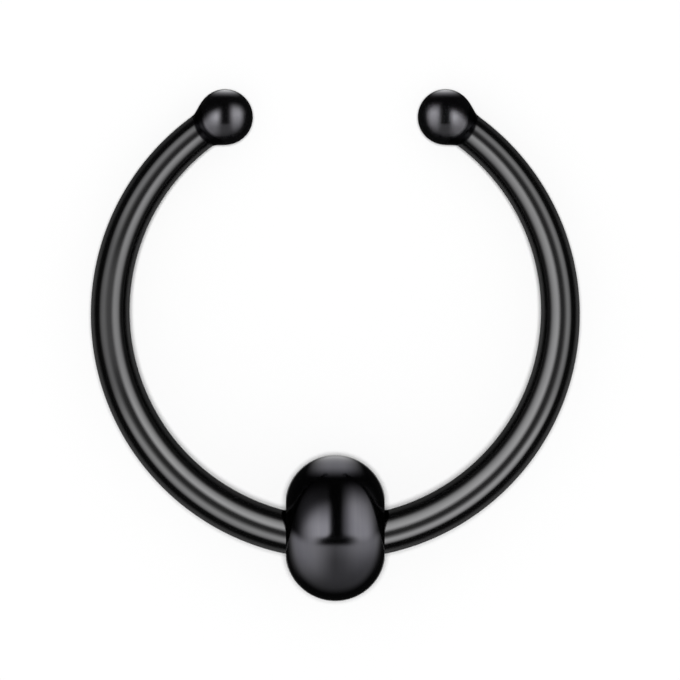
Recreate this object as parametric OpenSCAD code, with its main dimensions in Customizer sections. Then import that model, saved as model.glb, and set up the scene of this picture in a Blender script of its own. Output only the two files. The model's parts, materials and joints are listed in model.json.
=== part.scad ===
// Clip-on nose ring: a round wire bent into an open hoop, with a ball soldered on each tip,
// and one rondelle bead threaded loose on the wire opposite the opening.
// It lies on its side on three points: the rim of the bead and the two balls.
// Millimetres. +Z is up, +Y points out of the opening, and the origin is the middle of the
// footprint, on the surface that the ring lies on.

/* [Hoop] */
// Radius of the hoop, to the middle of the wire
hoop_r = 5.625; // [5.5:0.025:6.5]
// Wire diameter opposite the opening
wire_mid_d = 1.08; // [1:0.01:1.2]
// Wire diameter at the tips
wire_tip_d = 0.91; // [0.8:0.01:0.94]
// Angle between the two ball centres, seen from the hoop's centre
opening_angle = 58.8; // [58:0.2:80]

/* [Ball tips] */
// Diameter of each ball
ball_d = 1.39; // [1.34:0.01:1.5]
// How far each ball's centre sits inside the wire's middle line
ball_inset = 0.01; // [0:0.01:0.06]
// How far the solder neck spreads between ball and wire
neck_blend = 0.2; // [0.05:0.01:0.2]

/* [Bead] */
// Diameter of the bead
bead_d = 3.65; // [3.2:0.05:4.5]
// Width of the bead along the wire
bead_w = 2.52; // [2:0.02:3]
// Diameter of the bead's bore, which lets a ball tip through
bore_d = 1.66; // [1.6:0.02:1.9]
// Bevel on the bore's two edges
bore_bevel = 0.06; // [0.02:0.01:0.1]
// Gap left between the wire and the bore where the bead bears on the wire
bearing_gap = 0.05; // [0.02:0.01:0.08]

/* [Mesh] */
// Sides of the wire's round section
wire_sides = 24; // [16:4:32]
// Sections along the wire from the bead to one neck
wire_steps = 44; // [30:2:60]
// Sections through one neck
neck_steps = 5; // [4:1:8]
// Sections over one ball
ball_steps = 11; // [8:1:16]

/* [Hidden] */
$fn = 96;
ball_r = ball_d / 2;
bead_r = bead_d / 2;
bore_r = bore_d / 2;
rim_r = bead_w / 2;
rim_centre_r = bead_r - rim_r;
tip_angle = 180 - opening_angle / 2;
ball_axis_r = hoop_r - ball_inset;

// The bore is wider than the wire, so the bead hangs off the wire's middle line.
bead_axis_r = hoop_r - (bore_r - wire_mid_d / 2 - bearing_gap);

// The hoop tips up towards the bead, which is the fatter rest.
ball_reach = ball_axis_r * -cos(tip_angle);
rest_span = bead_axis_r + ball_reach;
tilt = asin((bead_r - ball_r) / rest_span);
hoop_z = ball_r + ball_reach * sin(tilt);
front_y = ball_reach * cos(tilt) + ball_r;
back_y = -bead_axis_r * cos(tilt) - bead_r;
hoop_y = -(front_y + back_y) / 2;

// Angles along the hoop run from the bead, 0, to each ball centre, tip_angle.
// A section that lies before a ball's centre has a negative offset from it.
neck_r = wire_tip_d / 2;
seat_offset = -asin(sqrt(ball_r * ball_r - neck_r * neck_r) / ball_axis_r);
neck_offset = seat_offset - 2.5;
seat_turn = 180 - asin(neck_r / ball_r);

function mix(a, b, t) = a + (b - a) * t;
function soft_max(a, b, k) = max(a, b) + pow(max(k - abs(a - b), 0), 2) / (4 * k);

// Radius of the bare wire, which thins evenly with distance from the bead side
function wire_r_at(angle) =
    mix(wire_mid_d, wire_tip_d, (1 - cos(angle)) / (1 - cos(tip_angle))) / 2;

// Radius of a ball where a plane through the hoop's axis cuts it
function ball_r_at(offset) =
    let(away = ball_axis_r * sin(offset))
    abs(away) < ball_r ? sqrt(ball_r * ball_r - away * away) : 0;

// How far out and how far in the hoop reaches, with solder rounding the corner of wire and ball
function outer_r(angle) =
    let(offset = abs(angle) - tip_angle,
        wire = hoop_r + wire_r_at(angle),
        ball = ball_axis_r * cos(offset) + ball_r_at(offset))
    offset < neck_offset ? wire : offset > 0 ? ball : soft_max(wire, ball, neck_blend);

function inner_r(angle) =
    let(offset = abs(angle) - tip_angle,
        wire = hoop_r - wire_r_at(angle),
        ball = ball_axis_r * cos(offset) - ball_r_at(offset))
    offset < neck_offset ? wire : offset > 0 ? ball : -soft_max(-wire, -ball, neck_blend);

function section_r(angle) = (outer_r(angle) - inner_r(angle)) / 2;
function section_centre_r(angle) = (outer_r(angle) + inner_r(angle)) / 2;

// One side of the hoop, from the bead to just short of a ball's far pole
half_angles = concat(
    [for (i = [0:wire_steps - 1]) (tip_angle + neck_offset) * i / wire_steps],
    [for (i = [0:neck_steps - 1]) tip_angle + mix(neck_offset, seat_offset, i / neck_steps)],
    [for (i = [0:ball_steps - 1])
        tip_angle + asin(ball_r * cos(seat_turn * (1 - i / ball_steps)) / ball_axis_r)]
);
half_count = len(half_angles);
angles = concat([for (i = [half_count - 1:-1:1]) -half_angles[i]], half_angles);
pole_angle = tip_angle + asin(ball_r / ball_axis_r);
pole_r = ball_axis_r * cos(pole_angle - tip_angle);

function on_hoop(angle, r, z) = [r * sin(angle), -r * cos(angle), z];

function ring(angle) =
    let(r = section_r(angle), centre = section_centre_r(angle))
    [for (k = [0:wire_sides - 1])
        let(turn = 360 * k / wire_sides) on_hoop(angle, centre + r * cos(turn), r * sin(turn))];

module wire_hoop_sweep() {
    last = len(angles) - 1;
    start_pole = (last + 1) * wire_sides;
    points = concat(
        [for (angle = angles) for (point = ring(angle)) point],
        [on_hoop(-pole_angle, pole_r, 0), on_hoop(pole_angle, pole_r, 0)]
    );
    faces = concat(
        [for (i = [0:last - 1]) for (k = [0:wire_sides - 1])
            let(next = (k + 1) % wire_sides, a = i * wire_sides, b = a + wire_sides)
            for (face = [[a + k, a + next, b + k], [a + next, b + next, b + k]]) face],
        [for (k = [0:wire_sides - 1])
            let(next = (k + 1) % wire_sides, a = last * wire_sides)
            for (face = [[start_pole, next, k], [start_pole + 1, a + k, a + next]]) face]
    );
    polyhedron(points = points, faces = faces, convexity = 4);
}

// Half section of the bead: a full round rim, cut back to the bore, whose edges are bevelled
module bead_section() {
    face_x = sqrt(pow(rim_r, 2) - pow(bore_r + bore_bevel - rim_centre_r, 2));
    difference() {
        translate([rim_centre_r, 0]) circle(r = rim_r);
        translate([bore_r - bead_r, -bead_w]) square([bead_r, 2 * bead_w]);
        for (side = [-1, 1])
            polygon([[bore_r - bore_bevel, side * (face_x - 2 * bore_bevel)],
                [bore_r + 2 * bore_bevel, side * (face_x + bore_bevel)],
                [bore_r - bore_bevel, side * (face_x + bore_bevel)]]);
    }
}

module lay_on_side() {
    translate([0, hoop_y, hoop_z]) rotate([-tilt, 0, 0]) children();
}

module wire_hoop() {
    color([0.1, 0.1, 0.11]) lay_on_side() wire_hoop_sweep();
}

module centre_bead() {
    color([0.24, 0.23, 0.26])
        lay_on_side() translate([0, -bead_axis_r, 0]) rotate([0, 90, 0])
            rotate_extrude() bead_section();
}

wire_hoop();
centre_bead();
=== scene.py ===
"""Looks of a black clip-on nose ring: an open wire hoop, a soldered ball on each tip and one loose bead.

The ring lies on its side on a pale table, and the camera looks straight down on the plane of its hoop.
"""

import json
from math import asin, atan2, cos, degrees, pi, radians, sin, sqrt

import bpy
from mathutils import Matrix, Vector


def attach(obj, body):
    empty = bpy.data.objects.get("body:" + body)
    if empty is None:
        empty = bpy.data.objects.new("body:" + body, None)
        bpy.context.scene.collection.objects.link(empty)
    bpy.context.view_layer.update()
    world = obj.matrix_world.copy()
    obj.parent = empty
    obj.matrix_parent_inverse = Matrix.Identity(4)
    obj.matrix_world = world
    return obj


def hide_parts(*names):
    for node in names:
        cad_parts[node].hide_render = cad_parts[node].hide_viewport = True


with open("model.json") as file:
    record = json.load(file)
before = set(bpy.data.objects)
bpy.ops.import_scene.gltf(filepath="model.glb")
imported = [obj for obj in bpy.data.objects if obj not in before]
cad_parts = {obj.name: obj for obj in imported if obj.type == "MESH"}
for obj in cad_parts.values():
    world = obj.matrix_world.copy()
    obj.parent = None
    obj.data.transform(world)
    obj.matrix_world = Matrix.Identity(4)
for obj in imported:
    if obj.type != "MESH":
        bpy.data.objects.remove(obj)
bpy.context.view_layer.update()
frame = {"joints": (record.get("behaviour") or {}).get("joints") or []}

bl_info = {
    "name": "Clip-on Nose Ring",
    "version": (1, 0, 0),
    "blender": (4, 5, 0),
    "location": "3D View > Sidebar > Nose Ring",
    "description": "Builds a black clip-on nose ring and the table and lights that it is shown with",
    "category": "Add Mesh",
}

MM = 0.001

# The hoop's own axis, which the bead slides about, tells where the hoop lies and how far it tips
SLIDE = next(joint for joint in frame["joints"] if joint["name"] == "bead_slide")
HOOP_CENTRE = Vector(SLIDE["pos_m"])
HOOP_AXIS = Vector(SLIDE["axis"]).normalized()
TILT = atan2(HOOP_AXIS.y, HOOP_AXIS.z)

# Blender's own merge and cut distances suit objects of a metre, so each tool gets one for a ring
MERGE_DISTANCE = 1e-6
CUT_DISTANCE = 1e-7
# With no window, transform.rotate turns clockwise for a positive angle
TURN_SIGN = -1
# Edges that turn more than this stay sharp when a piece is shaded smooth
SHARP_ANGLE = radians(40)

# How finely the hoop is drawn out: sides of its section, and sections from the bead to the neck,
# through the solder neck and over the ball
WIRE_SIDES = 64
WIRE_STEPS = 140
NECK_STEPS = 14
BALL_STEPS = 26
# The neck's section at which the ball is parted from the wire
PARTING_STEP = 6
# How far before the ball's seat the solder neck starts
NECK_LEAD = radians(2.5)

# How finely the bead is turned: sides of its rim's outline, steps round its bore, steps of a bevel
RIM_SIDES = 128
TURN_STEPS = 160
BEVEL_STEPS = 3


class RingSizes(bpy.types.PropertyGroup):
    """Sizes of the hoop, its ball tips and the bead"""

    hoop_radius: bpy.props.FloatProperty(
        name="Hoop radius", description="Radius of the hoop, to the middle of the wire",
        default=5.625 * MM, min=5 * MM, max=7 * MM, precision=6, subtype="DISTANCE", unit="LENGTH")
    wire_mid: bpy.props.FloatProperty(
        name="Wire at the bead", description="Wire diameter opposite the opening",
        default=1.08 * MM, min=0.8 * MM, max=1.3 * MM, precision=6, subtype="DISTANCE", unit="LENGTH")
    wire_tip: bpy.props.FloatProperty(
        name="Wire at the tips", description="Wire diameter at the tips",
        default=0.91 * MM, min=0.7 * MM, max=1.0 * MM, precision=6, subtype="DISTANCE", unit="LENGTH")
    opening_angle: bpy.props.FloatProperty(
        name="Opening", description="Angle between the two ball centres, seen from the hoop's centre",
        default=radians(58.8), min=radians(50), max=radians(80), subtype="ANGLE", unit="ROTATION")
    ball: bpy.props.FloatProperty(
        name="Ball", description="Diameter of each ball tip",
        default=1.39 * MM, min=1.2 * MM, max=1.6 * MM, precision=6, subtype="DISTANCE", unit="LENGTH")
    ball_inset: bpy.props.FloatProperty(
        name="Ball inset", description="How far each ball's centre sits inside the wire's middle line",
        default=0.01 * MM, min=0, max=0.06 * MM, precision=6, subtype="DISTANCE", unit="LENGTH")
    neck_blend: bpy.props.FloatProperty(
        name="Solder neck", description="How far the solder spreads between ball and wire",
        default=0.2 * MM, min=0.05 * MM, max=0.3 * MM, precision=6, subtype="DISTANCE", unit="LENGTH")
    bead: bpy.props.FloatProperty(
        name="Bead", description="Diameter of the bead",
        default=3.65 * MM, min=3 * MM, max=4.5 * MM, precision=6, subtype="DISTANCE", unit="LENGTH")
    bead_width: bpy.props.FloatProperty(
        name="Bead width", description="Width of the bead's round rim along the wire, before it is bored",
        default=2.52 * MM, min=2 * MM, max=3 * MM, precision=6, subtype="DISTANCE", unit="LENGTH")
    bore: bpy.props.FloatProperty(
        name="Bore", description="Diameter of the bead's bore",
        default=1.66 * MM, min=1.4 * MM, max=1.9 * MM, precision=6, subtype="DISTANCE", unit="LENGTH")
    bore_bevel: bpy.props.FloatProperty(
        name="Bore bevel", description="Rounding of the bore's two edges",
        default=0.06 * MM, min=0.02 * MM, max=0.1 * MM, precision=6, subtype="DISTANCE", unit="LENGTH")
    bearing_gap: bpy.props.FloatProperty(
        name="Bearing gap", description="Gap between wire and bore where the bead hangs on the wire",
        default=0.05 * MM, min=0.02 * MM, max=0.08 * MM, precision=6, subtype="DISTANCE", unit="LENGTH")


class RingFinish(bpy.types.PropertyGroup):
    """Colours and polish of the black plating, and the table's colour"""

    hoop_black: bpy.props.FloatVectorProperty(
        name="Hoop", description="How the plating on the hoop mirrors each colour",
        default=(0.100, 0.100, 0.101), min=0, max=1, size=3, subtype="COLOR")
    bead_black: bpy.props.FloatVectorProperty(
        name="Bead", description="How the plating on the bead mirrors each colour",
        default=(0.104, 0.1025, 0.1125), min=0, max=1, size=3, subtype="COLOR")
    polish: bpy.props.FloatProperty(
        name="Roughness", description="Roughness of the polished plating",
        default=0.13, min=0.05, max=0.5, subtype="FACTOR")
    table: bpy.props.FloatVectorProperty(
        name="Table", description="Colour of the table that the ring lies on",
        default=(0.80, 0.80, 0.80), min=0, max=1, size=3, subtype="COLOR")


class Number:
    """A number on its way through a material; arithmetic on it adds Math nodes."""

    def __init__(self, sheet, socket):
        self.sheet = sheet
        self.socket = socket

    def __add__(self, other):
        return self.sheet.maths("ADD", self, other)

    def __sub__(self, other):
        return self.sheet.maths("SUBTRACT", self, other)

    def __rsub__(self, other):
        return self.sheet.maths("SUBTRACT", other, self)

    def __mul__(self, other):
        return self.sheet.maths("MULTIPLY", self, other)

    def __truediv__(self, other):
        return self.sheet.maths("DIVIDE", self, other)

    __radd__ = __add__
    __rmul__ = __mul__


class NodeSheet:
    """The nodes of one material or of the world, added by code."""

    def __init__(self, owner):
        owner.use_nodes = True
        self.tree = owner.node_tree
        self.tree.nodes.clear()

    def add(self, kind, settings=None, sockets=None):
        """One node of that kind: its settings first, then values or links of sockets, by name or number."""
        node = self.tree.nodes.new(kind)
        for name, setting in (settings or {}).items():
            setattr(node, name, setting)
        for key, given in (sockets or {}).items():
            if isinstance(key, int):
                socket = node.inputs[key]
            else:
                socket = next(s for s in node.inputs if s.name == key and s.enabled)
            given = getattr(given, "socket", given)
            if isinstance(given, bpy.types.NodeSocket):
                self.tree.links.new(given, socket)
            else:
                socket.default_value = given
        return node

    def maths(self, operation, *values):
        """A Math node's result, for numbers and plain values."""
        node = self.add("ShaderNodeMath", {"operation": operation}, dict(enumerate(values)))
        return Number(self, node.outputs[0])

    def rise(self, value, start, end):
        """A smooth step from 0 where value is start to 1 where it is end."""
        node = self.add(
            "ShaderNodeMapRange",
            {"interpolation_type": "SMOOTHSTEP"},
            {"Value": value, "From Min": start, "From Max": end},
        )
        return Number(self, node.outputs["Result"])

    def fade(self, value, start, end, least):
        """A smooth step from least where value is start to 1 where it is end."""
        return least + self.rise(value, start, end) * (1 - least)

    def absolute(self, value):
        """A number without its sign."""
        return self.maths("ABSOLUTE", value)

    def length(self, first, second):
        """The long side of a right triangle."""
        return self.maths("SQRT", first * first + second * second)

    def mixed(self, factor, first, second):
        """A colour between two."""
        node = self.add(
            "ShaderNodeMix", {"data_type": "RGBA"}, {"Factor": factor, "A": first, "B": second})
        return next(socket for socket in node.outputs if socket.enabled)

    def split(self, vector):
        """The three numbers of a vector."""
        node = self.add("ShaderNodeSeparateXYZ", sockets={"Vector": vector})
        return [Number(self, socket) for socket in node.outputs]

    def join(self, x, y, z):
        """A vector of three numbers."""
        return self.add("ShaderNodeCombineXYZ", sockets={"X": x, "Y": y, "Z": z}).outputs["Vector"]

    def noise(self, vector, scale, detail):
        """Noise from 0 to 1 in space."""
        node = self.add(
            "ShaderNodeTexNoise", sockets={"Vector": vector, "Scale": scale, "Detail": detail})
        return Number(self, node.outputs["Fac"])

    def own_place(self):
        """The place in the object's own coordinates."""
        return self.add("ShaderNodeTexCoord").outputs["Object"]

    def place_in_hoop(self):
        """The place in the hoop's own frame: Z along its axis, and -Y towards the bead."""
        turn_back = Matrix.Rotation(TILT, 3, "X")
        mapping = self.add("ShaderNodeMapping", {"vector_type": "POINT"}, {
            "Vector": self.own_place(),
            "Location": -(turn_back @ HOOP_CENTRE),
            "Rotation": turn_back.to_euler(),
        })
        return mapping.outputs["Vector"]

    def degrees_from_bead(self, x, y):
        """The angle round the hoop's axis from the bead, the same on both sides."""
        return self.maths("ARCTAN2", self.absolute(x), -1 * y) * degrees(1)

    def finish_surface(self, shader):
        """Ends a material with its shader."""
        self.add("ShaderNodeOutputMaterial", sockets={"Surface": shader})


def deselect_all():
    """Deselects everything, the frame's own nodes included."""
    bpy.ops.object.select_all(action="DESELECT")


def pick(piece):
    """Selects one piece alone and makes it the active one."""
    deselect_all()
    piece.select_set(True)
    bpy.context.view_layer.objects.active = piece


def set_place():
    """Moves the selected piece's place, turn and scale into its mesh."""
    bpy.ops.object.transform_apply(location=True, rotation=True, scale=True)


def edit(piece):
    """Opens one piece alone in edit mode, with nothing in it selected."""
    pick(piece)
    bpy.ops.object.mode_set(mode="EDIT")
    bpy.ops.mesh.select_all(action="DESELECT")


def close_edit():
    """Leaves edit mode."""
    bpy.ops.object.mode_set(mode="OBJECT")


def reopen_edit():
    """Goes back into edit mode, with what was selected in code."""
    bpy.ops.object.mode_set(mode="EDIT")


def mend_mesh(piece):
    """Merges a piece's doubled points and turns all its faces outwards."""
    edit(piece)
    bpy.ops.mesh.select_all(action="SELECT")
    bpy.ops.mesh.remove_doubles(threshold=MERGE_DISTANCE)
    bpy.ops.mesh.normals_make_consistent(inside=False)
    close_edit()


def lay_on_side(piece):
    """Puts a piece that was made in the hoop's frame where the hoop lies, with its place in its mesh."""
    pick(piece)
    piece.matrix_world = Matrix.Translation(HOOP_CENTRE) @ Matrix.Rotation(-TILT, 4, "X")
    set_place()


def smooth(piece):
    """Shades a piece smooth, apart from its sharp edges."""
    pick(piece)
    bpy.ops.object.shade_smooth_by_angle(angle=SHARP_ANGLE)


def give_material(piece, material):
    """Gives a piece one material alone."""
    piece.data.materials.clear()
    piece.data.materials.append(material)


def mix(start, end, share):
    """The value that lies that share of the way from start to end."""
    return start + (end - start) * share


def soft_max(first, second, blend):
    """The larger of two lengths, rounded over where they are nearly the same."""
    return max(first, second) + max(blend - abs(first - second), 0) ** 2 / (4 * blend)


def hanging_axis_r(sizes):
    """How far the bead's axis lies from the hoop's: the wide bore hangs off the wire's middle line."""
    return sizes.hoop_radius - (sizes.bore / 2 - sizes.wire_mid / 2 - sizes.bearing_gap)


class HoopLine:
    """Where the hoop's middle line runs and how thick it is, by the angle from the bead."""

    def __init__(self, sizes):
        self.sizes = sizes
        self.ball_r = sizes.ball / 2
        self.tip_angle = pi - sizes.opening_angle / 2
        self.ball_axis_r = sizes.hoop_radius - sizes.ball_inset
        neck_r = sizes.wire_tip / 2
        # Where the bare wire would enter the ball, measured from the ball's centre
        self.seat_offset = -asin(sqrt(self.ball_r**2 - neck_r**2) / self.ball_axis_r)
        self.neck_offset = self.seat_offset - NECK_LEAD
        self.pole_offset = asin(self.ball_r / self.ball_axis_r)

    def wire_r(self, angle):
        """Radius of the bare wire, which thins evenly with distance from the bead side."""
        share = (1 - cos(angle)) / (1 - cos(self.tip_angle))
        return mix(self.sizes.wire_mid, self.sizes.wire_tip, share) / 2

    def ball_cut_r(self, offset):
        """Radius of a ball where a plane through the hoop's axis cuts it."""
        away = self.ball_axis_r * sin(offset)
        return sqrt(self.ball_r**2 - away**2) if abs(away) < self.ball_r else 0.0

    def outer_and_inner(self, angle):
        """How far out and how far in the hoop reaches, with solder rounding the corner at a ball."""
        offset = angle - self.tip_angle
        wire_outer = self.sizes.hoop_radius + self.wire_r(angle)
        wire_inner = self.sizes.hoop_radius - self.wire_r(angle)
        if offset < self.neck_offset:
            return wire_outer, wire_inner
        ball_outer = self.ball_axis_r * cos(offset) + self.ball_cut_r(offset)
        ball_inner = self.ball_axis_r * cos(offset) - self.ball_cut_r(offset)
        if offset > 0:
            return ball_outer, ball_inner
        blend = self.sizes.neck_blend
        return soft_max(wire_outer, ball_outer, blend), -soft_max(-wire_inner, -ball_inner, blend)

    def section_r(self, angle):
        """Radius of the hoop's section at that angle."""
        outer, inner = self.outer_and_inner(angle)
        return (outer - inner) / 2

    def centre(self, angle):
        """Centre of the hoop's section at that angle, in the hoop's frame."""
        outer, inner = self.outer_and_inner(angle)
        return Vector((sin(angle), -cos(angle), 0)) * ((outer + inner) / 2)

    def parting_angle(self):
        """Where the ball is parted from the wire, in the solder neck."""
        share = PARTING_STEP / NECK_STEPS
        return self.tip_angle + mix(self.neck_offset, self.seat_offset, share)

    def stations(self):
        """Angles of the sections from the bead to the last one before the ball's far pole."""
        neck_start = self.tip_angle + self.neck_offset
        seat = self.tip_angle + self.seat_offset
        seat_turn = pi - asin(self.sizes.wire_tip / self.sizes.ball)
        wire = [neck_start * step / WIRE_STEPS for step in range(WIRE_STEPS)]
        neck = [mix(neck_start, seat, step / NECK_STEPS) for step in range(NECK_STEPS)]
        ball = []
        for step in range(BALL_STEPS):
            along = self.ball_r * cos(seat_turn * (1 - step / BALL_STEPS))
            ball.append(self.tip_angle + asin(along / self.ball_axis_r))
        return wire + neck + ball


def sweep_half_hoop(line):
    """Half of the hoop, drawn out ring by ring from the bead side to the far pole of its ball."""
    stations = line.stations()
    deselect_all()
    bpy.ops.mesh.primitive_circle_add(
        vertices=WIRE_SIDES, radius=line.section_r(0), fill_type="NOTHING",
        location=line.centre(0), rotation=(0, pi / 2, 0))
    half = bpy.context.object
    set_place()
    edit(half)
    bpy.ops.mesh.select_all(action="SELECT")
    pole = line.tip_angle + line.pole_offset
    for last, angle in zip(stations, stations[1:] + [pole]):
        bpy.ops.mesh.extrude_region_move()
        bpy.ops.transform.translate(value=line.centre(angle) - line.centre(last))
        bpy.ops.transform.rotate(
            value=TURN_SIGN * (angle - last), orient_axis="Z", center_override=line.centre(angle))
        ratio = line.section_r(angle) / line.section_r(last)
        bpy.ops.transform.resize(value=(ratio,) * 3, center_override=line.centre(angle))
    bpy.ops.mesh.merge(type="CENTER")
    close_edit()
    return half


def part_ball(half, line):
    """Parts the ball from the wire in the solder neck, and closes both where they meet."""
    parting = line.parting_angle()
    # Opened and closed once to clear what is still selected
    edit(half)
    close_edit()
    for face in half.data.polygons:
        face.select = atan2(face.center.x, -face.center.y) > parting
    reopen_edit()
    bpy.ops.mesh.separate(type="SELECTED")
    close_edit()
    ball = next(piece for piece in bpy.context.selected_objects if piece is not half)
    for piece in (half, ball):
        close_cut(piece)
    return ball


def close_cut(piece):
    """Closes a piece's open edges, apart from those in the plane that the hoop is mirrored across."""
    edit(piece)
    bpy.ops.mesh.select_mode(type="EDGE")
    bpy.ops.mesh.select_non_manifold(
        extend=False, use_wire=False, use_boundary=True,
        use_multi_face=False, use_non_contiguous=False, use_verts=False)
    close_edit()
    for edge in piece.data.edges:
        first, second = (piece.data.vertices[index].co for index in edge.vertices)
        if abs(first.x + second.x) / 2 < MERGE_DISTANCE:
            edge.select = False
    reopen_edit()
    bpy.ops.mesh.edge_face_add()
    close_edit()


def mirror_across(piece):
    """Adds the other half of a piece across the hoop's plane of symmetry."""
    pick(piece)
    modifier = piece.modifiers.new("other_half", "MIRROR")
    modifier.use_axis = (True, False, False)
    modifier.merge_threshold = MERGE_DISTANCE
    bpy.ops.object.modifier_apply(modifier=modifier.name)


def copy_to_left(piece):
    """A copy of a piece on the other side of the hoop, with its own mesh."""
    pick(piece)
    bpy.ops.object.duplicate(linked=False)
    copy = bpy.context.object
    copy.scale.x = -1
    set_place()
    return copy


# The black painted as shade in the crease where each ball meets the wire, and how much rougher than the
# plating that band is
NECK_SHADE_BLACK = (0.008, 0.008, 0.009, 1.0)
SEAM_DULLNESS = 0.12
# Clouds in the plating, in noise cells to the metre, and their share in its turn of colour, where
# the streaks have the rest
CLOUD_SCALE = 900.0
CLOUD_SHARE = 0.6
# How far below the given roughness the plating starts, and how much streaks and clouds each add
ROUGHNESS_DROP = 0.02
ROUGHNESS_SPREAD = 0.03


def plating(name, colour, cooler, roughness, streak_place, streak_depth, neck_shade=None):
    """Polished black plating: faint polishing streaks, soft clouds and a slight turn in colour.

    Round each solder neck a band of painted shade darkens the plating, and the plating is duller there.
    """
    material = bpy.data.materials.new(name)
    sheet = NodeSheet(material)
    place = sheet.place_in_hoop()
    x, y, z = sheet.split(place)
    streaks = sheet.noise(streak_place(sheet, x, y, z), scale=1.0, detail=3.0)
    clouds = sheet.noise(place, scale=CLOUD_SCALE, detail=2.0)
    shade = sheet.rise(clouds * CLOUD_SHARE + streaks * (1 - CLOUD_SHARE), 0.3, 0.7)
    cool_colour = tuple(channel * share for channel, share in zip(colour, cooler))
    black = sheet.mixed(shade, (*colour, 1.0), (*cool_colour, 1.0))
    smoothest = roughness - ROUGHNESS_DROP
    dullness = smoothest + streaks * ROUGHNESS_SPREAD + clouds * ROUGHNESS_SPREAD
    if neck_shade:
        # Painted shade: the neck band is darkened to stand for the shade and dark reflection in the crease
        # between ball and wire
        shade_band = neck_shade(sheet, x, y)
        black = sheet.mixed(shade_band, black, NECK_SHADE_BLACK)
        dullness = dullness + shade_band * SEAM_DULLNESS
    bump = sheet.add(
        "ShaderNodeBump", sockets={"Strength": 1.0, "Distance": streak_depth, "Height": streaks})
    surface = sheet.add("ShaderNodeBsdfPrincipled", sockets={
        "Base Color": black,
        "Metallic": 1.0,
        "Roughness": dullness,
        "Normal": bump.outputs["Normal"],
    })
    sheet.finish_surface(surface.outputs["BSDF"])
    return material


# Streaks of the wire: cells in half a millimetre across it and in a radian along it, and their depth
WIRE_STREAK_UNIT = 0.5 * MM
WIRE_STREAKS_ACROSS = 9.0
WIRE_STREAKS_ALONG = 5.0
WIRE_STREAK_DEPTH = 0.4e-6
# Streaks of the bead: their width, cells in a radian round its bore, and their depth
BEAD_STREAK_WIDTH = 0.05 * MM
BEAD_STREAKS_ROUND = 1.5
BEAD_STREAK_DEPTH = 0.3e-6
# Size and depth of the grain on the balls
GRAIN_SIZE = 0.08 * MM
GRAIN_DEPTH = 0.3e-6
# How far the balls' black leans from the hoop's towards the bead's
BALL_LEAN = 0.7
# How much rougher than the wire the balls are, and how much smoother the bead is
BALL_ROUGHER = 0.05
BEAD_SMOOTHER = 0.02


def along_wire(hoop_radius):
    """Streaks that follow the wire round the hoop."""

    def streak_place(sheet, x, y, z):
        outward = (sheet.length(x, y) - hoop_radius) / WIRE_STREAK_UNIT
        upward = z / WIRE_STREAK_UNIT
        along = sheet.maths("ARCTAN2", x, -1 * y)
        return sheet.join(
            outward * WIRE_STREAKS_ACROSS, upward * WIRE_STREAKS_ACROSS, along * WIRE_STREAKS_ALONG)

    return streak_place


def round_bore(bead_axis_r):
    """Streaks that run round the bead's bore, as a lathe leaves them."""

    def streak_place(sheet, x, y, z):
        across = y + bead_axis_r
        turn = sheet.maths("ARCTAN2", z, across)
        reach = sheet.length(across, z)
        return sheet.join(
            x / BEAD_STREAK_WIDTH, reach / BEAD_STREAK_WIDTH, turn * BEAD_STREAKS_ROUND)

    return streak_place


def tumbled(sheet, x, y, z):
    """The fine even grain that tumbling in shot leaves on a ball."""
    return sheet.join(x / GRAIN_SIZE, y / GRAIN_SIZE, z / GRAIN_SIZE)


def neck_shade_band(line):
    """The band of painted shade on each neck, where ball meets wire, told by the distance from its ball in
    the hoop's plane.
    """
    ball_x = line.ball_axis_r * sin(line.tip_angle)
    ball_y = -line.ball_axis_r * cos(line.tip_angle)

    def neck_shade(sheet, x, y):
        # In millimetres from the ball's centre, and in degrees from it towards the bead
        reach = sheet.length(sheet.absolute(x) - ball_x, y - ball_y) / MM
        before_ball = degrees(line.tip_angle) - sheet.degrees_from_bead(x, y)
        # Painted shade runs from near the ball's seat to just before the wire's lit lines end
        ball_edge = sheet.rise(reach, 0.50, 0.59)
        wire_edge = sheet.rise(reach, 0.82, 0.76)
        return ball_edge * wire_edge * sheet.rise(before_ball, 3.0, 4.5)

    return neck_shade


class NOSERING_OT_hoop(bpy.types.Operator):
    """Builds the wire hoop and its two soldered ball tips"""

    bl_idname = "nosering.hoop"
    bl_label = "Hoop and ball tips"
    bl_options = {"REGISTER", "UNDO"}

    def execute(self, context):
        sizes = context.scene.ring_sizes
        finish = context.scene.ring_finish
        line = HoopLine(sizes)
        hoop = sweep_half_hoop(line)
        right_ball = part_ball(hoop, line)
        mirror_across(hoop)
        left_ball = copy_to_left(right_ball)
        wire_black = plating(
            "drawn_wire_black", finish.hoop_black, cooler=(0.92, 0.92, 0.93), roughness=finish.polish,
            streak_place=along_wire(sizes.hoop_radius), streak_depth=WIRE_STREAK_DEPTH,
            neck_shade=neck_shade_band(line))
        ball_tint = tuple(
            mix(hoop_share, bead_share, BALL_LEAN)
            for hoop_share, bead_share in zip(finish.hoop_black, finish.bead_black))
        ball_black = plating(
            "tumbled_ball_black", ball_tint, cooler=(0.93, 0.93, 0.95),
            roughness=finish.polish + BALL_ROUGHER,
            streak_place=tumbled, streak_depth=GRAIN_DEPTH,
            neck_shade=neck_shade_band(line))
        pieces = (
            (hoop, "hoop_wire", wire_black),
            (left_ball, "ball_tip_left", ball_black),
            (right_ball, "ball_tip_right", ball_black),
        )
        for piece, name, material in pieces:
            piece.name = name
            piece.data.name = name
            mend_mesh(piece)
            lay_on_side(piece)
            smooth(piece)
            give_material(piece, material)
            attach(piece, "hoop")
            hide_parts("wire_hoop")
        return {"FINISHED"}


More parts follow.
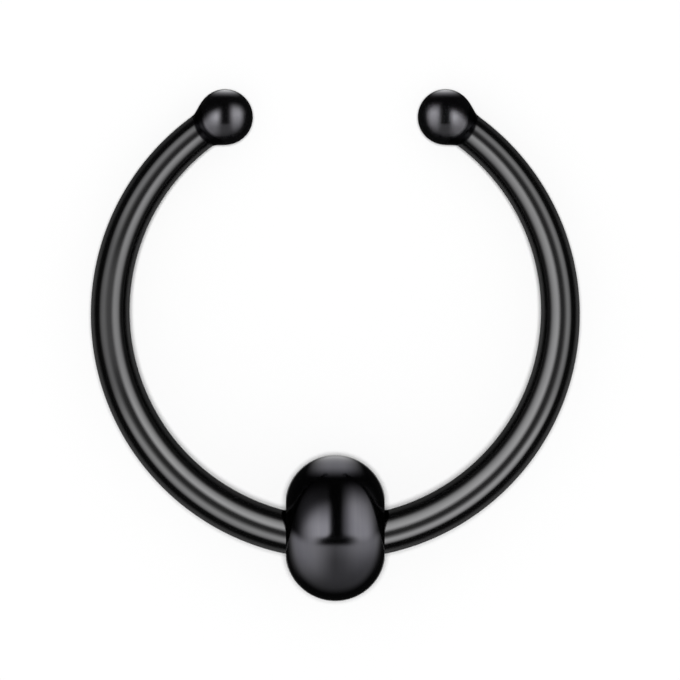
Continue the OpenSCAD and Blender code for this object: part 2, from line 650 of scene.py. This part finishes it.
def bevel_corners(bead, bore_y, bevel):
    """Rounds the two corners of the bead's outline that become the edges of its bore."""
    edit(bead)
    bpy.ops.mesh.select_mode(type="VERT")
    close_edit()
    corners = sorted(
        (v for v in bead.data.vertices if abs(v.co.y - bore_y) < MERGE_DISTANCE),
        key=lambda v: v.co.x)
    for corner in (corners[0], corners[-1]):
        corner.select = True
    reopen_edit()
    bpy.ops.mesh.bevel(offset=bevel, segments=BEVEL_STEPS, affect="VERTICES")
    close_edit()


class NOSERING_OT_bead(bpy.types.Operator):
    """Builds the round-rimmed bead that is threaded loose on the wire"""

    bl_idname = "nosering.bead"
    bl_label = "Bead"
    bl_options = {"REGISTER", "UNDO"}

    def execute(self, context):
        sizes = context.scene.ring_sizes
        finish = context.scene.ring_finish
        rim_r = sizes.bead_width / 2
        rim_centre = sizes.bead / 2 - rim_r
        bead_axis_r = hanging_axis_r(sizes)
        axis_y = -bead_axis_r
        bore_y = axis_y + sizes.bore / 2

        deselect_all()
        bpy.ops.mesh.primitive_circle_add(
            vertices=RIM_SIDES, radius=rim_r, fill_type="NGON", location=(0, axis_y + rim_centre, 0))
        bead = bpy.context.object
        bead.name = "rondelle_bead"
        bead.data.name = "rondelle_bead"
        set_place()
        edit(bead)
        bpy.ops.mesh.select_all(action="SELECT")
        bpy.ops.mesh.bisect(
            plane_co=(0, bore_y, 0), plane_no=(0, 1, 0), use_fill=False,
            clear_inner=True, clear_outer=False, threshold=CUT_DISTANCE)
        close_edit()
        bevel_corners(bead, bore_y, sizes.bore_bevel)
        edit(bead)
        bpy.ops.mesh.select_all(action="SELECT")
        bpy.ops.mesh.delete(type="ONLY_FACE")
        bpy.ops.mesh.select_all(action="SELECT")
        bpy.ops.mesh.spin(
            steps=TURN_STEPS, angle=2 * pi, center=(0, axis_y, 0), axis=(1, 0, 0))
        close_edit()
        mend_mesh(bead)
        lay_on_side(bead)
        smooth(bead)
        give_material(bead, plating(
            "turned_bead_black", finish.bead_black, cooler=(0.9, 0.9, 0.94),
            roughness=finish.polish - BEAD_SMOOTHER,
            streak_place=round_bore(bead_axis_r), streak_depth=BEAD_STREAK_DEPTH))
        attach(bead, "bead")
        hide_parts("centre_bead")
        return {"FINISHED"}


# How much the picture shows from side to side, and how far the camera stands from the hoop
FRAME_WIDTH = 17 * MM
CAMERA_DISTANCE = 400 * MM
# Where the middle of the picture lies from the hoop's centre, to the right and up in the picture
PICTURE_RIGHT = 0.1175 * MM
PICTURE_UP = -0.6825 * MM
# Blender gives a camera's sensor and lens in millimetres, and all else here is in metres
SENSOR_WIDTH = 36
NEAREST_SEEN = 1 * MM
FARTHEST_SEEN = 2

TABLE_SIDE = 4
# How bright the lit table comes out, and how much of that light is soft and comes from all round
TABLE_LIGHT = 1.05
SOFT_SHARE = 0.18
# How wide the lamp looks from the table, which softens the edges of shadows
LAMP_ANGLE = radians(8)

# No two domes have the same radius, because a ray meets only one of two like surfaces
BEAD_DOME_RADIUS = 300 * MM
LEFT_BALL_DOME_RADIUS = 320 * MM
RIGHT_BALL_DOME_RADIUS = 340 * MM
WIRE_DOME_RADIUS = 360 * MM
DOME_SEGMENTS = 48
DOME_RINGS = 24
# The card with the rings of light, just above the hoop
CARD_RADIUS = 16 * MM
CARD_HEIGHT = 2.5 * MM
CARD_SIDES = 96


def add_camera():
    """The camera looks along the hoop's axis, with the opening at the top of the picture."""
    facing = Matrix.Rotation(-TILT, 4, "X")
    aim = HOOP_CENTRE + facing @ Vector((PICTURE_RIGHT, PICTURE_UP, 0))
    bpy.ops.object.camera_add()
    camera = bpy.context.object
    camera.name = "camera"
    camera.matrix_world = Matrix.Translation(aim + HOOP_AXIS * CAMERA_DISTANCE) @ facing
    camera.data.sensor_width = SENSOR_WIDTH
    camera.data.lens = SENSOR_WIDTH * CAMERA_DISTANCE / FRAME_WIDTH
    camera.data.clip_start = NEAREST_SEEN
    camera.data.clip_end = FARTHEST_SEEN
    bpy.context.scene.camera = camera


def light_only(light, receivers, name):
    """Lets a light or a glowing card reach only these pieces."""
    lit = bpy.data.collections.new(name)
    for piece in receivers:
        lit.objects.link(piece)
    light.light_linking.receiver_collection = lit


def glow(name, strength_of):
    """A see-through glowing material, whose strength is worked out from the card's own coordinates."""
    material = bpy.data.materials.new(name)
    sheet = NodeSheet(material)
    strength = strength_of(sheet, sheet.own_place())
    emission = sheet.add("ShaderNodeEmission", sockets={"Strength": strength})
    clear = sheet.add("ShaderNodeBsdfTransparent")
    both = sheet.add("ShaderNodeAddShader", sockets={0: emission.outputs[0], 1: clear.outputs[0]})
    sheet.finish_surface(both.outputs[0])
    material.cycles.emission_sampling = "NONE"
    return material


def set_up_card(card, strength_of, receivers):
    """Makes a card or dome glow, only for these pieces and only in what they mirror."""
    give_material(card, glow(card.name + "_glow", strength_of))
    for ray in ("camera", "diffuse", "transmission", "volume_scatter", "shadow"):
        setattr(card, "visible_" + ray, False)
    light_only(card, receivers, "lit_by_" + card.name)


def add_dome(name, radius, strength_of, receiver):
    """A far glowing dome for one piece, turned so that its Z axis is the hoop's."""
    deselect_all()
    bpy.ops.mesh.primitive_uv_sphere_add(segments=DOME_SEGMENTS, ring_count=DOME_RINGS, radius=radius)
    dome = bpy.context.object
    dome.name = name
    dome.rotation_euler.x = -TILT
    set_up_card(dome, strength_of, [receiver])


# Keeps a direction straight along a dome's Z axis from being divided by nothing
LEAST_REACH = 1e-4


def bearing(sheet, place):
    """The direction of a place on a dome: degrees right and up from its Z axis, and away from it in all."""
    x, y, z = sheet.split(sheet.add(
        "ShaderNodeVectorMath", {"operation": "NORMALIZE"}, {"Vector": place}).outputs["Vector"])
    away = sheet.maths("ARCCOSINE", z) * degrees(1)
    spread = away / sheet.maths("MAXIMUM", sheet.length(x, y), LEAST_REACH)
    return x * spread, y * spread, away


# How strongly each thing glows that the bead, the balls or the wire mirror; the room is what is left
# where nothing else is lit
BEAD_LEFT_BOX = 2.15
BEAD_RIGHT_BOX = 1.83
BEAD_HAZE = 0.13
BEAD_TABLE_NEAR = 0.28
BEAD_TABLE_FAR = 0.2
BEAD_TABLE_LEFT = 0.9
BEAD_TABLE_RIGHT = 0.88
BEAD_FAR_WALL = 1.06
BEAD_BELOW = 0.4
BEAD_ROOM = 0.008
BALL_LOW_BOX = 4.15
BALL_HIGH_BOX = 3.2
BALL_TABLE = 0.33
BALL_FAR_WALL = 2.2
BALL_ROOM = 0.02
INNER_RING = 3.05
OUTER_RING = 2.65
BETWEEN_RINGS = 0.15
WIRE_WALLS = 0.25
WIRE_TABLE = 0.9
WIRE_ROOM = 0.025

# In the four functions below, each edge of a light is a rise from where it is dark to where it is full.
# On the domes these are in degrees, and on the ring light's card in millimetres.


def bead_surroundings(sheet, place):
    """What the bead mirrors: two softboxes with a dark gap between, the table's edge and a far wall."""
    right, up, away = bearing(sheet, place)
    sideways = sheet.absolute(right)
    on_left = sheet.rise(right, 20.0, -20.0)
    on_right = 1 - on_left
    # The gap between the softboxes widens at its foot and a little at its top
    flare = sheet.rise(up, -6.0, -30.0) * 30.0
    lean = sheet.rise(up, 10.0, 60.0) * 4.0
    # The table's edge rises towards the sides
    over_edge = up - sheet.rise(sideways, 70.0, 116.0) * 8.0

    left_box_sides = sheet.rise(right + flare, -5.0, -19.5) * sheet.rise(right, -99.0, -37.0)
    left_box_top = sheet.rise(up - 0.78 * right, 95.0, 49.0) * sheet.rise(up, 50.0, -2.0)
    left_box = left_box_sides * left_box_top * BEAD_LEFT_BOX
    right_box_sides = sheet.rise(right - flare - lean, 10.5, 48.0) * sheet.rise(right, 123.0, 72.0)
    right_box_top = sheet.rise(up + 0.74 * right, 145.0, 44.0) * sheet.rise(up, 83.0, 31.0)
    right_box = right_box_sides * right_box_top * BEAD_RIGHT_BOX
    haze_sides = sheet.rise(sideways, 9.0, 22.0) * sheet.rise(away, 112.0, 76.0)
    haze = sheet.rise(up, 84.0, 20.0) * haze_sides * BEAD_HAZE
    above_table = (left_box + right_box + haze) * sheet.rise(over_edge, -27.0, -11.0)

    middle_light = BEAD_TABLE_NEAR + sheet.rise(up, -58.0, -24.0) * BEAD_TABLE_FAR
    table_middle = middle_light * sheet.rise(up, -150.0, -79.0) * sheet.rise(away, 132.0, 106.0)
    left_light = on_left * sheet.rise(up, -105.0, -43.0) * BEAD_TABLE_LEFT
    right_light = on_right * sheet.rise(up, -94.0, -6.0) * BEAD_TABLE_RIGHT
    table_end = sheet.rise(sideways, -6.0, 58.0) * sheet.rise(away - on_left * 3.0, 144.0, 76.0)
    table_sides = table_end * (left_light + right_light)
    table = (table_middle + table_sides) * sheet.rise(over_edge, -12.0, -28.0)

    # The foot of the gap is a dark band on the table's edge
    gap_foot = sheet.rise(sheet.absolute(up + 21.0), 10.0, 2.0) * sheet.rise(sideways, 58.0, 20.0)
    wall_sides = sheet.rise(sideways, 90.0, 12.0) * sheet.rise(away, 176.0, 150.0)
    far_wall = sheet.rise(up, 86.0, 117.0) * wall_sides * BEAD_FAR_WALL
    below = sheet.rise(away, 160.0, 174.0) * BEAD_BELOW
    return (above_table + table) * (1 - gap_foot) + far_wall + below + BEAD_ROOM


def ball_surroundings(side):
    """What a ball mirrors; the right ball, side 1, sees the left one's surroundings the other way round."""

    def strength_of(sheet, place):
        right, up, away = bearing(sheet, place)
        outwards = right * -side
        sideways = sheet.absolute(right)
        low_box_sides = sheet.rise(outwards, -10.0, -39.0) * sheet.fade(outwards, -86.0, -31.0, 0.12)
        low_box_top = sheet.rise(up - 0.27 * outwards, 52.0, 7.0)
        low_box = low_box_sides * low_box_top * sheet.fade(up, -48.0, 18.0, 0.28)
        high_box_sides = sheet.rise(outwards, 11.0, 42.0) * sheet.fade(outwards, 100.0, 58.0, 0.15)
        high_box_top = sheet.rise(up, 68.0, 9.0)
        high_box = high_box_sides * high_box_top * sheet.fade(up, -85.0, 48.0, 0.11)
        table = sheet.rise(up, -24.0, -34.0) * sheet.rise(sideways, 32.0, 12.0) * BALL_TABLE
        boxes = low_box * BALL_LOW_BOX + high_box * BALL_HIGH_BOX
        near = (boxes + table) * sheet.rise(away, 110.0, 60.0)
        wall_sides = sheet.rise(sideways, 83.0, 0.0) * sheet.rise(away, 165.0, 140.0)
        far_wall = sheet.rise(up, 90.0, 143.0) * wall_sides
        return near + far_wall * BALL_FAR_WALL + BALL_ROOM

    return strength_of


def ring_light(sheet, place):
    """What the wire mirrors: two soft rings of light round the hoop's axis, brighter towards the bead."""
    x, y = sheet.split(place)[:2]
    right = x / MM
    up = y / MM
    level = sheet.absolute(up)
    on_left = sheet.rise(right, 1.0, -3.0)
    near_mouth = sheet.rise(up, 1.5, 4.5)
    in_shade = sheet.rise(right, -3.0, -5.0) * sheet.rise(level, 2.4, 0.8)
    reach = sheet.length(right, up) + 0.2 + on_left * 0.3

    inner_start = 1.8 + on_left * 0.3 + near_mouth
    inner_edges = sheet.rise(reach, inner_start, 5.5) * sheet.rise(reach, 6.1, 5.15)
    inner_fall = (1 - sheet.rise(up, -4.5, 3.0) * 0.2) * (1 - in_shade * 0.4)
    inner = inner_edges * INNER_RING * inner_fall
    outer_reach = reach + on_left * sheet.rise(level, 4.5, 2.0) * 0.5
    outer_edges = sheet.rise(reach, 6.5, 8.0) * sheet.rise(outer_reach, 11.6, 7.8)
    outer_fall = (1 - sheet.rise(up, -4.4, -2.3) * 0.46) * (1 - in_shade * 0.35)
    outer_left_fall = 1 - on_left * sheet.rise(up, 4.2, 2.0) * 0.3
    outer = outer_edges * OUTER_RING * outer_fall * outer_left_fall

    # The card is met square on from the top of the wire, and at a slant from its sides
    facing = sheet.add("ShaderNodeLayerWeight", sockets={"Blend": 0.5}).outputs["Facing"]
    steepness = 1 - Number(sheet, facing)
    between = (BETWEEN_RINGS + in_shade * 0.3) * sheet.rise(steepness, 0.3, 0.56)
    ring = (inner + outer) * sheet.rise(steepness, 0.19, 0.43) + between
    before_neck = sheet.rise(sheet.degrees_from_bead(x, y), 145.0, 143.6)
    # Only what the wire mirrors straight on; its lit lines aren't seen again in the bead and balls
    bounces = Number(sheet, sheet.add("ShaderNodeLightPath").outputs["Glossy Depth"])
    return ring * before_neck * sheet.maths("LESS_THAN", bounces, 1.5)


def wire_surroundings(sheet, place):
    """What the wire's sides mirror: a dim room with paler walls, and the pale table below."""
    up, away = bearing(sheet, place)[1:]
    wall_fall = 1 - sheet.rise(up, 10.0, 80.0) * 0.5
    walls = sheet.rise(away, 93.0, 118.0) * sheet.rise(away, 150.0, 130.0) * wall_fall
    table = sheet.rise(away, 146.0, 164.0)
    return walls * WIRE_WALLS + table * WIRE_TABLE + WIRE_ROOM


class NOSERING_OT_stage(bpy.types.Operator):
    """Builds the table, the lights and the camera"""

    bl_idname = "nosering.stage"
    bl_label = "Table, lights and camera"
    bl_options = {"REGISTER", "UNDO"}

    def execute(self, context):
        scene = context.scene
        finish = scene.ring_finish
        scene.view_settings.view_transform = "Standard"
        add_camera()

        deselect_all()
        bpy.ops.mesh.primitive_plane_add(size=TABLE_SIDE)
        table = bpy.context.object
        table.name = "table"
        material = bpy.data.materials.new("matt_white_table")
        sheet = NodeSheet(material)
        surface = sheet.add("ShaderNodeBsdfDiffuse", sockets={"Color": (*finish.table, 1.0)})
        sheet.finish_surface(surface.outputs["BSDF"])
        give_material(table, material)
        table.visible_glossy = False

        # The lamp stands behind the camera, so the ring hides its own shadow
        bpy.ops.object.light_add(type="SUN")
        lamp = bpy.context.object
        lamp.name = "camera_lamp"
        lamp.rotation_euler.x = -TILT
        lamp.data.angle = LAMP_ANGLE
        albedo = finish.table[1]
        lamp.data.energy = pi * TABLE_LIGHT * (1 - SOFT_SHARE) / (albedo * HOOP_AXIS.z)
        light_only(lamp, [table], "lit_by_camera_lamp")

        # The room lights the table softly, and shows white where the camera sees past the table
        world = bpy.data.worlds.new("white_room")
        scene.world = world
        room = NodeSheet(world)
        seen = Number(room, room.add("ShaderNodeLightPath").outputs["Is Camera Ray"])
        soft = TABLE_LIGHT * SOFT_SHARE / albedo
        background = room.add("ShaderNodeBackground", sockets={
            "Strength": soft + seen * (TABLE_LIGHT - soft)})
        room.add("ShaderNodeOutputWorld", sockets={"Surface": background.outputs["Background"]})
        world.cycles_visibility.glossy = False

        wire, left_ball, right_ball, bead = (bpy.data.objects[name] for name in (
            "hoop_wire", "ball_tip_left", "ball_tip_right", "rondelle_bead"))
        add_dome("bead_dome", BEAD_DOME_RADIUS, bead_surroundings, bead)
        add_dome("left_ball_dome", LEFT_BALL_DOME_RADIUS, ball_surroundings(-1), left_ball)
        add_dome("right_ball_dome", RIGHT_BALL_DOME_RADIUS, ball_surroundings(1), right_ball)
        add_dome("wire_dome", WIRE_DOME_RADIUS, wire_surroundings, wire)
        deselect_all()
        bpy.ops.mesh.primitive_circle_add(vertices=CARD_SIDES, radius=CARD_RADIUS, fill_type="NGON")
        card = bpy.context.object
        card.name = "ring_light"
        above_hoop = Matrix.Translation(HOOP_CENTRE + HOOP_AXIS * CARD_HEIGHT)
        card.matrix_world = above_hoop @ Matrix.Rotation(-TILT, 4, "X")
        set_up_card(card, ring_light, [wire])
        return {"FINISHED"}


class NOSERING_PT_panel(bpy.types.Panel):
    """The ring's sizes, finish and builders"""

    bl_idname = "NOSERING_PT_panel"
    bl_label = "Nose Ring"
    bl_space_type = "VIEW_3D"
    bl_region_type = "UI"
    bl_category = "Nose Ring"

    def draw(self, context):
        layout = self.layout
        for group in (context.scene.ring_sizes, context.scene.ring_finish):
            box = layout.box()
            for name in group.__annotations__:
                box.prop(group, name)
        for operator in BUILDERS:
            layout.operator(operator.bl_idname)


BUILDERS = (NOSERING_OT_hoop, NOSERING_OT_bead, NOSERING_OT_stage)
CLASSES = (RingSizes, RingFinish, *BUILDERS, NOSERING_PT_panel)


def register():
    for cls in CLASSES:
        bpy.utils.register_class(cls)
    bpy.types.Scene.ring_sizes = bpy.props.PointerProperty(type=RingSizes)
    bpy.types.Scene.ring_finish = bpy.props.PointerProperty(type=RingFinish)


def unregister():
    del bpy.types.Scene.ring_finish
    del bpy.types.Scene.ring_sizes
    for cls in reversed(CLASSES):
        bpy.utils.unregister_class(cls)


def main():
    register()
    bpy.ops.nosering.hoop()
    bpy.ops.nosering.bead()
    bpy.ops.nosering.stage()


if __name__ == "__main__":
    main()
